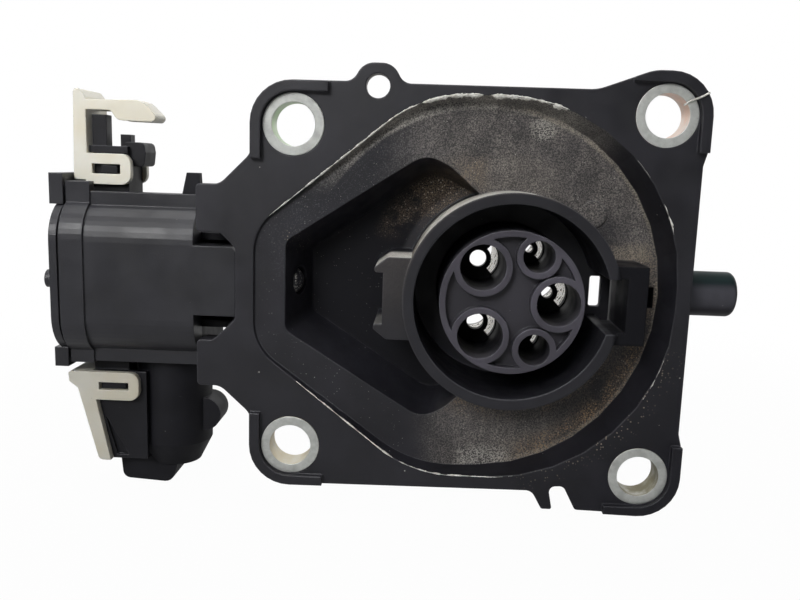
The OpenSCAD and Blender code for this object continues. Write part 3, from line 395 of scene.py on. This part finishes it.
def tan_dust(g, at, colour):
    """Tan dust on the key box's upper shoulder and in the corner between the dish's floor and wall."""
    shoulder = g.times(at.floor, at.zone(x=(23, 26, 32, 36), z=(8, 9.5, 11, 14)))
    shoulder = g.times(shoulder, g.smooth(at.patch, 0.3, 0.5))
    seam = g.times(at.floor, at.zone(reach=(43.7, 44.5)), g.smooth(at.patch, 0.30, 0.55, to_low=0.25))
    seam = g.times(seam, g.most(at.zone(z=(4, 20), x=(-6, 6)), at.corner))
    return g.mix(g.times(g.most(seam, shoulder), at.grain, 0.85), colour, SAND)


def loose_grains(g, at, colour, earthy):
    """Pale frost and grains on the floor and in the pocket, sand and rust at the lower right."""
    frost = g.times(at.floor, at.zone(x=(-14, -24), z=(-8, 10)), g.smooth(at.patch, 0.30, 0.62, to_low=0.45))
    colour = g.mix(g.times(frost, g.smooth(at.grit, 0.54, 0.70), 0.42), colour, WORN_AND_SHEEN)
    sunk = g.times(at.zone(y=(9.0, 12.0), x=(-20, -30)), 0.3)
    strewn = g.most(g.times(at.ring, 0.9), g.times(at.floor, 0.5), sunk)
    colour = g.mix(g.times(g.specks(cell=0.55, radius=0.11, share=0.34), strewn, 0.60), colour, CHALK)
    heap = g.times(at.floor, at.zone(z=(-37, -41), x=(-12, -8, 1, 5)), g.smooth(at.grit, 0.44, 0.60))
    colour = g.mix(g.times(heap, 0.45), colour, CHALK)
    spilt = at.zone(dish=(44.4, 45.2, 46, 51), y=(0.4, 0.1), z=(-8, -20), x=(2, 12))
    crumbs = g.span(g.disc(*CRUMBS_AT), 4.0, 1.5)
    sandy = g.times(g.most(spilt, crumbs, earthy), g.smooth(at.patch, 0.34, 0.56), 0.85)
    colour = g.mix(g.times(g.specks(cell=0.50, radius=0.20, share=0.50), sandy), colour, SAND)
    rim = g.times(at.floor, at.zone(reach=(39.5, 42.5), z=(-6, -14), x=(2, 10)))
    rusty = g.most(rim, g.times(at.under, at.floor, 0.6))
    rusty = g.times(rusty, g.smooth(at.patch, 0.30, 0.52, to_low=0.35))
    return g.mix(g.times(g.specks(cell=0.36, radius=0.20, share=0.70), rusty, 0.9), colour, RUST)


def collar_dust_and_top_light(g, at, colour):
    """(colour, mask): dust on the collar's side and the catch, heavier and paler where it faces up, partly as
    painted top light.
    """
    crown = at.zone(y=(9, 5), collar=(24.2, 24.7, 32, 34), x=(18, 4))
    crown = g.times(crown, g.smooth(at.z, -14 * MM, 9 * MM, to_low=0.05))
    upper = g.smooth(at.up, 0.05, 0.65, to_low=0.10)
    spread = g.times(g.smooth(at.patch, 0.25, 0.6, to_low=0.55), g.smooth(at.grit, 0.36, 0.66, to_low=0.55))
    dust_and_top_light = g.times(crown, upper, spread)
    # Painted light: the dust turns paler on up-facing faces
    tint = g.mix(g.smooth(at.up, 0.3, 0.7), SAND, CHALK)
    return g.mix(g.times(dust_and_top_light, 0.95), colour, tint), dust_and_top_light


def housing_dirt_and_shade(g, colour, rough):
    """Road dust on the housing, layer upon layer, with painted shade in the latch pocket and key box, and
    painted light on the bosses, the dish's upper wall and up-facing dust.
    """
    at = Place(g)
    colour = painted_shade_pocket_and_key_box(g, at, colour)
    colour, film = film_lime_and_painted_light(g, at, colour)
    colour, earthy = brown_dirt(g, at, colour)
    colour = tan_dust(g, at, colour)
    colour = loose_grains(g, at, colour, earthy)
    colour, dust_and_top_light = collar_dust_and_top_light(g, at, colour)
    return colour, g.math("ADD", rough, g.times(g.most(film, dust_and_top_light), 0.30))


def tower_shade_and_mud(g, colour, rough):
    """Painted shade darkening the tubes and recesses with depth, and pale dried mud, cracked and patchy,
    behind the crescent windows, with a painted glow.
    """
    across = g.axis(g.position, "X")
    depth = g.axis(g.position, "Y")
    # Painted shade: darker and duller deeper into the tubes and recesses
    sunk = g.span(depth, -7.9, -6.2)
    colour = g.mix(g.times(sunk, 0.6), colour, BLACK_DEEP)
    deep = g.span(depth, -5.6, -2.0)
    colour = g.mix(g.times(deep, 0.9), colour, BLACK_DEEP)
    g.set(Specular_IOR_Level=g.smooth(deep, 0.0, 1.0, to_low=0.40, to_high=0.10))
    # Mud lies on the right side of the rear sockets' walls, which the photo shows through the windows
    inside = 0.0
    for x, z, radius in TUBES:
        bore = g.span(g.disc(x, z), radius + 0.6, radius + 0.3)
        right_side = g.span(across, x - 0.25 * radius, x + 0.15 * radius)
        inside = g.most(inside, g.times(bore, right_side))
    behind = g.times(g.span(depth, 12.0, 12.6), g.span(depth, 33.5, 31.0))
    walls = g.smooth(g.axis(g.normal, "Y"), 0.6, 0.3)
    lumps = g.noise(size=2.2, detail=4.0, roughness=0.7)
    cracks = g.noise(size=1.1, detail=4.0, roughness=0.7)
    mud = g.times(behind, inside, walls, g.smooth(lumps, 0.34, 0.46), g.smooth(cracks, 0.40, 0.50))
    colour = g.mix(g.times(mud, 0.95), colour, PALE_MUD)
    # Painted glow: the mud emits light as if the white ground behind lit it
    g.set(Emission_Color=PALE_MUD, Emission_Strength=g.times(mud, MUD_PAINTED_GLOW))
    return colour, g.math("ADD", rough, g.times(mud, 0.3))


def bolt_dirt(g, colour, rough):
    """Fine pale grains on the bolt's tip."""
    grains = g.smooth(g.noise(size=0.5, roughness=0.8), 0.56, 0.66)
    return g.mix(g.times(grains, 0.6), colour, CHALK), rough


def nipple_highlight_and_top(g, colour, rough):
    """The stub's dark green upper side, and a painted highlight as a pale band along its front."""
    patch = g.smooth(g.noise(size=6.0), 0.2, 0.8, to_low=0.6)
    up = g.smooth(g.axis(g.normal, "Z"), 0.25, 0.75)
    # Painted highlight: a pale band on the faces that look to the front
    painted_highlight_band = g.smooth(g.axis(g.normal, "Y"), -0.75, -0.97)
    colour = g.mix(g.times(painted_highlight_band, patch), colour, NIPPLE_HIGHLIGHT)
    return g.mix(g.times(up, patch), colour, NIPPLE_GREEN), rough


def ivory(name, shade):
    """Natural nylon, a little translucent, yellowed in blotches; shade darkens it, for age and as painted
    shade.
    """
    g = Graph(name)
    blotch = g.noise(size=16.0, detail=3.0)
    grit = g.noise(size=0.5, detail=3.0)
    worn, rounded = g.edges(0.4)
    colour = g.mix(g.smooth(blotch, 0.35, 0.75), shaded(IVORY, shade), shaded(IVORY_AGED, shade))
    colour = g.mix(g.times(g.specks(cell=2.2, radius=0.2, share=0.12), 0.5), colour, BROWN)
    colour = g.mix(g.times(worn, 0.35), colour, IVORY_EDGE)
    roughness = g.smooth(grit, 0.3, 0.7, to_low=0.36, to_high=0.5)
    g.set(Base_Color=colour, Roughness=roughness, Specular_IOR_Level=0.42)
    g.set(Subsurface_Weight=0.18, Subsurface_Radius=(0.9, 0.8, 0.6), Subsurface_Scale=1.2 * MM)
    g.set(Normal=g.bump(grit, 0.006, rounded))
    return g.material


def tinted_plastic(name, tint, roughness):
    """Plain coloured plastic with a fine mottle."""
    g = Graph(name)
    mottle = g.noise(size=2.5, detail=4.0)
    worn, rounded = g.edges(0.2)
    colour = g.mix(g.smooth(mottle, 0.3, 0.7), tint, shaded(tint, 0.8))
    pale = tuple(min(1.0, channel) for channel in shaded(tint, 1.5))
    colour = g.mix(g.times(worn, 0.3), colour, pale)
    g.set(Base_Color=colour, Roughness=g.smooth(mottle, 0.3, 0.7, roughness, roughness + 0.12))
    g.set(Normal=g.bump(mottle, 0.005, rounded))
    return g.material


# Metals

def zinc(name, tint, bore_tint, centre):
    """Zinc-plated steel sleeve: matt faces turned in rings, a tinted bore."""
    g = Graph(name)
    cloud = g.noise(size=3.5, detail=4.0, roughness=0.6)
    grit = g.noise(size=0.35, detail=3.0)
    worn, rounded = g.edges(0.3)
    bored = g.smooth(g.math("ABSOLUTE", g.axis(g.normal, "Y")), 0.6, 0.3)
    rings = g.noise(size=0.5, vector=g.node("CombineXYZ", {0: g.disc(*centre)}).outputs[0])
    colour = g.mix(g.smooth(cloud, 0.3, 0.75), tint, shaded(tint, 0.72))
    colour = g.mix(g.times(bored, g.smooth(cloud, 0.25, 0.6, to_low=0.5)), colour, bore_tint)
    colour = g.mix(g.times(g.smooth(grit, 0.62, 0.75), 0.35), colour, ZINC_PITTED)
    colour = g.mix(g.times(worn, 0.5), colour, ZINC_WORN)
    roughness = g.smooth(cloud, 0.3, 0.7, to_low=0.40, to_high=0.58)
    g.set(Base_Color=colour, Metallic=0.82, Roughness=roughness)
    g.set(Normal=g.bump(g.math("ADD", grit, g.times(rings, 0.7)), 0.012, rounded))
    return g.material


def metal(name, tint, roughness):
    """Plain machined or plated metal with fine marks."""
    g = Graph(name)
    streak = g.noise(size=0.8, detail=3.0, vector=g.stretched(1.0, 1.0, 0.2))
    worn, rounded = g.edges(0.15)
    colour = g.mix(g.smooth(streak, 0.3, 0.7), tint, shaded(tint, 0.7))
    colour = g.mix(g.times(worn, 0.4), colour, METAL_WORN)
    g.set(Base_Color=colour, Metallic=1.0, Roughness=g.smooth(streak, 0.3, 0.7, roughness, roughness + 0.15))
    g.set(Normal=g.bump(streak, 0.004, rounded))
    return g.material


def chalk(name):
    """Dried whitish residue: rough, cracked and uneven."""
    g = Graph(name)
    crack = g.noise(size=0.7, detail=5.0, roughness=0.7)
    colour = g.mix(g.smooth(crack, 0.35, 0.7), RESIDUE_PALE, RESIDUE_DARK)
    g.set(Base_Color=colour, Roughness=0.9, Specular_IOR_Level=0.2)
    g.set(Normal=g.bump(crack, 0.05, g.node("NewGeometry").outputs["Normal"]))
    return g.material


def finish(material, *names):
    for name in names:
        slots = NODES[name].data.materials
        slots.clear()
        slots.append(material)


def bushing_centre(name):
    """Middle of a sleeve as (x, z) in millimetres."""
    low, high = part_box(name)
    return ((low[0] + high[0]) / 2 / MM, (low[2] + high[2]) / 2 / MM)


HOUSING = black_plastic("housing", grain=0.9, specks=0.50, edge=0.6, dirt=housing_dirt_and_shade)
INSERT = black_plastic("insert", tint=BLACK_INSERT, edge_wear_and_highlight=1.0, dirt=tower_shade_and_mud)
SHELL = black_plastic(
    "actuator_shell", tint=BLACK_SHELL, rough=(0.34, 0.46), grain=2.0, specks=0.22, gloss=0.40,
)
# The actuator's rear and the connectors take the deeper black partly as painted shade, for the barrel and
# lower connector under the actuator
REAR = black_plastic("actuator_rear", tint=BLACK_DEEP, rough=(0.46, 0.60), specks=0.2, gloss=0.16)
CONNECTOR = black_plastic("connector", tint=BLACK_DEEP, rough=(0.38, 0.52), specks=0.25, gloss=0.22)
NIPPLE = black_plastic("nipple", rough=(0.36, 0.46), specks=0.2, gloss=0.12, dirt=nipple_highlight_and_top)
BOLT = black_plastic("bolt", rough=(0.30, 0.42), specks=0.3, dirt=bolt_dirt)
RUBBER = black_plastic("rubber", tint=BLACK_RUBBER, rough=(0.62, 0.78), grain=0.8, specks=0.15, edge_wear_and_highlight=0.2)
RESIDUE = chalk("dried_residue")
finish(HOUSING, "inlet_housing")
finish(INSERT, "contact_insert")
finish(SHELL, "actuator_cover", "actuator_end_cap")
finish(REAR, "actuator_base")
finish(CONNECTOR, "upper_connector", "lower_connector")
finish(NIPPLE, "drain_nipple")
finish(BOLT, "lock_bolt")
finish(RUBBER, "insert_seal", "end_cap_seal", "bolt_seal")
finish(ivory("ivory_nylon", shade=1.0), "upper_retainer")
# The lower retainer is darker, partly for age and partly as painted shade
finish(ivory("ivory_nylon_aged_and_shaded", shade=0.72), "lower_retainer")
finish(metal("plated_steel", STEEL_PLATED, roughness=0.30), "insert_screws", "actuator_screws", "gear_axle")
finish(metal("drawn_steel", STEEL_DRAWN, roughness=0.28), "lock_motor", "sensor_magnet")
finish(metal("brass", BRASS, roughness=0.24), "motor_pinion")
finish(tinted_plastic("gear_plastic", GEAR_NATURAL, roughness=0.38), "drive_gear")
finish(tinted_plastic("circuit_board", BOARD_GREEN, roughness=0.34), "sensor_board")
# How bright each sleeve's face is, and the tint of its bore
SLEEVES = {
    "bushing_top_left": (0.95, (0.60, 0.72, 0.52)),
    "bushing_bottom_left": (1.30, (0.66, 0.60, 0.46)),
    "bushing_top_right": (1.50, (0.80, 0.62, 0.52)),
    "bushing_bottom_right": (1.30, (0.22, 0.20, 0.13)),
}
for bushing, (face, bore_tint) in SLEEVES.items():
    finish(zinc("zinc_" + bushing, shaded(ZINC, face), bore_tint, bushing_centre(bushing)), bushing)


# Residue, key floor and fibre

def ride_inlet(piece):
    """Links a new piece, which rides on the inlet."""
    bpy.context.scene.collection.objects.link(piece)
    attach(piece, "inlet")


def add_piece(name, vertices, faces, material, smooth=True):
    """A new mesh, with its vertices in millimetres."""
    mesh = bpy.data.meshes.new(name)
    mesh.from_pydata([Vector(v) * MM for v in vertices], [], faces)
    mesh.materials.append(material)
    for polygon in mesh.polygons:
        polygon.use_smooth = smooth
    ride_inlet(bpy.data.objects.new(name, mesh))


def rounded_outline(corners, steps=24):
    """Points of a closed outline of (x, z, radius) corners, in order."""
    points = []
    for i, (x, z, radius) in enumerate(corners):
        here = Vector((x, z))
        before = (Vector(corners[i - 1][:2]) - here).normalized()
        after = (Vector(corners[(i + 1) % len(corners)][:2]) - here).normalized()
        half = before.angle(after) / 2
        centre = here + (before + after).normalized() * radius / math.sin(half)
        start = here + before * radius / math.tan(half) - centre
        end = here + after * radius / math.tan(half) - centre
        sweep = math.pi - 2 * half
        for step in range(steps + 1):
            t = step / steps
            arm = start * math.sin(sweep * (1 - t)) + end * math.sin(sweep * t)
            points.append(centre + arm / math.sin(sweep))
    return points


def spaced(points, gap):
    """Points of a closed line, evenly spaced, each with its outward normal."""
    shortest = 1e-6
    loop = points + points[:1]
    result = []
    carry = 0.0
    for a, b in zip(loop, loop[1:]):
        along = b - a
        length = along.length
        while length > shortest and carry < length:
            direction = along / length
            result.append((a + direction * carry, Vector((-direction.y, direction.x))))
            carry += gap
        carry -= length
    return result


EDGE = spaced(rounded_outline(DISH), EDGE_GAP)


def edge_stretch(inside):
    """The runs of edge points for which inside(x, z) holds."""
    runs = []
    run = []
    for point, outward in EDGE:
        if inside(point.x, point.y):
            run.append((point, outward))
        elif run:
            runs.append(run)
            run = []
    return runs + ([run] if run else [])


def crust(name, inside, face_width, wall_width, height, gaps, seed, bulge=0.06):
    """A crust along the dish's edge: part on the flange face, part down the wall, broken by gaps."""
    # Scale of the noise that breaks the crust, and the factors of its finer layers
    coarse = 0.35
    finer = 3.1
    finest = 7.3
    # Points over which a run tapers, and the least amount that leaves any crust
    taper_points = 8
    least = 0.02
    # How far the crust stands off the solid at its rim, crest and foot, and how deep it bulges
    rim_off = 0.01
    crest_off = 0.02
    crest_out = 0.05
    foot_off = 0.02
    bulge_depth = 0.3
    vertices = []
    faces = []
    for run in edge_stretch(inside):
        last = None
        for i, (point, outward) in enumerate(run):
            place = Vector((point.x * coarse, point.y * coarse, seed))
            amount = noise.noise(place) + 0.5 * noise.noise(place * finer) + gaps
            taper = min(1.0, i / taper_points, (len(run) - 1 - i) / taper_points)
            if amount * taper <= least:
                last = None
                continue
            size = min(1.0, amount) * taper * (0.75 + 0.5 * noise.noise(place * finest))
            down = wall_width * size
            rim = point + outward * face_width * size
            crest = point + outward * crest_out
            inner = point - outward * (bulge + height) * size
            foot = point - outward * (down * DISH_LEAN + foot_off)
            first = len(vertices)
            vertices += [
                (rim.x, FLANGE_Y - rim_off, rim.y),
                (crest.x, FLANGE_Y - crest_off - height * size, crest.y),
                (inner.x, FLANGE_Y + bulge_depth * down, inner.y),
                (foot.x, FLANGE_Y + down, foot.y),
            ]
            if last is not None:
                faces += [(last + k, last + k + 1, first + k + 1, first + k) for k in range(3)]
            last = first
    add_piece(name, vertices, faces, RESIDUE)


crust(
    "residue_upper_left", lambda x, z: z > 17 and x < -22,
    face_width=0.38, wall_width=0.80, height=0.14, gaps=0.70, seed=3.0,
)
crust(
    "residue_top", lambda x, z: z > 30 and -25 <= x < 12,
    face_width=0.42, wall_width=2.60, height=0.30, gaps=0.62, seed=11.0, bulge=0.75,
)
crust(
    "residue_upper_right", lambda x, z: z > 24 and x >= 12,
    face_width=0.16, wall_width=0.50, height=0.08, gaps=-0.10, seed=13.0,
)
crust(
    "residue_right", lambda x, z: x > 34 and 15.5 < z < 23.5,
    face_width=0.55, wall_width=1.20, height=0.16, gaps=0.80, seed=17.0,
)
crust(
    "residue_lower", lambda x, z: z < -22 and x < 4,
    face_width=0.24, wall_width=0.60, height=0.12, gaps=0.45, seed=23.0,
)
crust(
    "residue_lower_right", lambda x, z: x > 33 and -25 < z < -13,
    face_width=0.45, wall_width=0.90, height=0.18, gaps=0.30, seed=31.0,
)


def four_corners(left, right, low, high):
    return [(left, high), (right, high), (right, low), (left, low)]


def key_floor(name):
    """Floor of the key channel round the drain window, with a lip down into it."""
    rounded = [(x, z, DRAIN_CORNER) for x, z in four_corners(*DRAIN_WINDOW)]
    window = rounded_outline(rounded, steps=6)
    outer = four_corners(*KEY_FLOOR)
    count = len(window)
    vertices = [(point.x, KEY_FLOOR_Y, point.y) for point in window]
    vertices += [(point.x, KEY_FLOOR_Y + DRAIN_LIP, point.y) for point in window]
    vertices += [(x, KEY_FLOOR_Y, z) for x, z in outer]
    faces = []
    for i in range(count):
        after = (i + 1) % count
        faces.append((i, after, count + after, count + i))
        corner, next_corner = (2 * count + k * len(outer) // count for k in (i, after))
        if corner == next_corner:
            faces.append((i, corner, after))
        else:
            faces.append((i, corner, next_corner, after))
    add_piece(name, vertices, faces, HOUSING, smooth=False)


def fibre(name, points, radius):
    """A thin pale strand lying on the part."""
    curve = bpy.data.curves.new(name, "CURVE")
    curve.dimensions = "3D"
    curve.bevel_depth = radius * MM
    curve.bevel_resolution = 3
    spline = curve.splines.new("BEZIER")
    spline.bezier_points.add(len(points) - 1)
    for handle, point in zip(spline.bezier_points, points):
        handle.co = Vector(point) * MM
        handle.handle_left_type = "AUTO"
        handle.handle_right_type = "AUTO"
    curve.materials.append(RESIDUE)
    ride_inlet(bpy.data.objects.new(name, curve))


key_floor("key_floor")
fibre("fibre", STRAND, STRAND_R)


# Stage

def make_camera():
    data = bpy.data.cameras.new("photo_camera")
    data.sensor_width = SENSOR
    data.lens = LENS
    data.clip_start = NEAR_CLIP
    camera = bpy.data.objects.new("photo_camera", data)
    columns = (Vector(CAMERA_RIGHT), Vector(CAMERA_UP), -Vector(CAMERA_FORWARD))
    turn = Matrix(columns).transposed().to_4x4()
    camera.matrix_world = Matrix.Translation(Vector(CAMERA_AT) * MM) @ turn
    bpy.context.scene.collection.objects.link(camera)
    bpy.context.scene.camera = camera


def softbox(name, at, aim, size, watts, spread):
    """An area light, in metres, whose light spreads by this many degrees."""
    data = bpy.data.lights.new(name, "AREA")
    data.shape = "RECTANGLE"
    data.size, data.size_y = size
    data.energy = watts
    data.spread = math.radians(spread)
    lamp = bpy.data.objects.new(name, data)
    lamp.location = at
    lamp.rotation_euler = (Vector(aim) - Vector(at)).to_track_quat("-Z", "Y").to_euler()
    bpy.context.scene.collection.objects.link(lamp)


def ray_share(tree, shares):
    """The largest of the shares that hold for a ray, by the name of its kind in the light path."""
    path = tree.nodes.new("ShaderNodeLightPath")
    most = None
    for ray, share in shares.items():
        part = tree.nodes.new("ShaderNodeMath")
        part.operation = "MULTIPLY"
        tree.links.new(path.outputs[ray], part.inputs[0])
        if isinstance(share, bpy.types.NodeSocket):
            tree.links.new(share, part.inputs[1])
        else:
            part.inputs[1].default_value = share
        if most is None:
            most = part.outputs[0]
            continue
        either = tree.nodes.new("ShaderNodeMath")
        either.operation = "MAXIMUM"
        tree.links.new(most, either.inputs[0])
        tree.links.new(part.outputs[0], either.inputs[1])
        most = either.outputs[0]
    return most


def make_floor():
    """A pale floor under the part: it takes the part's shadow, and reads white further off."""
    level = CAD_BOX[0][2] - FLOOR_GAP
    corners = [(x * FLOOR_SIZE, y * FLOOR_SIZE, level) for x, y in ((-1, -1), (1, -1), (1, 1), (-1, 1))]
    mesh = bpy.data.meshes.new("floor")
    mesh.from_pydata(corners, [], [(0, 1, 2, 3)])
    g = Graph("floor_paper")
    weave = g.noise(size=40.0, detail=3.0)
    g.set(Base_Color=g.mix(weave, PAPER_DARK, PAPER_PALE), Roughness=0.9, Specular_IOR_Level=0.1)
    away = g.node("VectorMath", {0: g.position}, operation="LENGTH").outputs["Value"]
    whiteness = g.smooth(away, *FLOOR_FADE, to_low=FLOOR_WHITE)
    shares = {
        "Is Camera Ray": whiteness,
        "Is Transmission Ray": whiteness,
        "Is Glossy Ray": FLOOR_MIRRORED,
    }
    white = g.node("Emission", {"Color": WHITE, "Strength": 1.0})
    blend = g.node("MixShader", {0: ray_share(g.tree, shares)})
    g.tree.links.new(g.shader.outputs[0], blend.inputs[1])
    g.tree.links.new(white.outputs[0], blend.inputs[2])
    g.tree.links.new(blend.outputs[0], g.output.inputs["Surface"])
    mesh.materials.append(g.material)
    floor = bpy.data.objects.new("floor", mesh)
    bpy.context.scene.collection.objects.link(floor)


def make_world():
    """White where the camera looks past the part; other rays see a backdrop and a dim room in front."""
    world = bpy.data.worlds.new("studio")
    world.use_nodes = True
    tree = world.node_tree
    tree.nodes.clear()
    output = tree.nodes.new("ShaderNodeOutputWorld")
    heading = tree.nodes.new("ShaderNodeSeparateXYZ")
    tree.links.new(tree.nodes.new("ShaderNodeTexCoord").outputs["Generated"], heading.inputs[0])
    behind = []
    for room, backdrop in ((ROOM_MIRRORED, 1.0), (0.0, BACKDROP)):
        ramp = tree.nodes.new("ShaderNodeMapRange")
        ramp.interpolation_type = "SMOOTHSTEP"
        tree.links.new(heading.outputs["Y"], ramp.inputs[0])
        for index, value in enumerate((*BACKDROP_FADE, room, backdrop), start=1):
            ramp.inputs[index].default_value = value
        behind.append(ramp.outputs[0])
    shares = {
        "Is Camera Ray": 1.0,
        "Is Transmission Ray": 1.0,
        "Is Glossy Ray": behind[0],
        "Is Diffuse Ray": behind[1],
    }
    blend = tree.nodes.new("ShaderNodeMixShader")
    tree.links.new(ray_share(tree, shares), blend.inputs[0])
    for index, strength in enumerate((AMBIENT, 1.0), start=1):
        background = tree.nodes.new("ShaderNodeBackground")
        background.inputs["Color"].default_value = (*WHITE, 1.0)
        background.inputs["Strength"].default_value = strength
        tree.links.new(background.outputs[0], blend.inputs[index])
    tree.links.new(blend.outputs[0], output.inputs["Surface"])
    bpy.context.scene.world = world


make_camera()
make_floor()
make_world()
softbox(
    "overhead", at=(-0.10, -0.10, 0.60), aim=(-0.03, 0.0, 0.0),
    size=(0.6, 0.40), watts=2.6, spread=180,
)
softbox(
    "key", at=(-0.26, -0.45, 0.30), aim=(-0.085, 0.0, 0.055),
    size=(0.34, 0.28), watts=0.28, spread=40,
)
bpy.context.scene.view_settings.view_transform = "Standard"
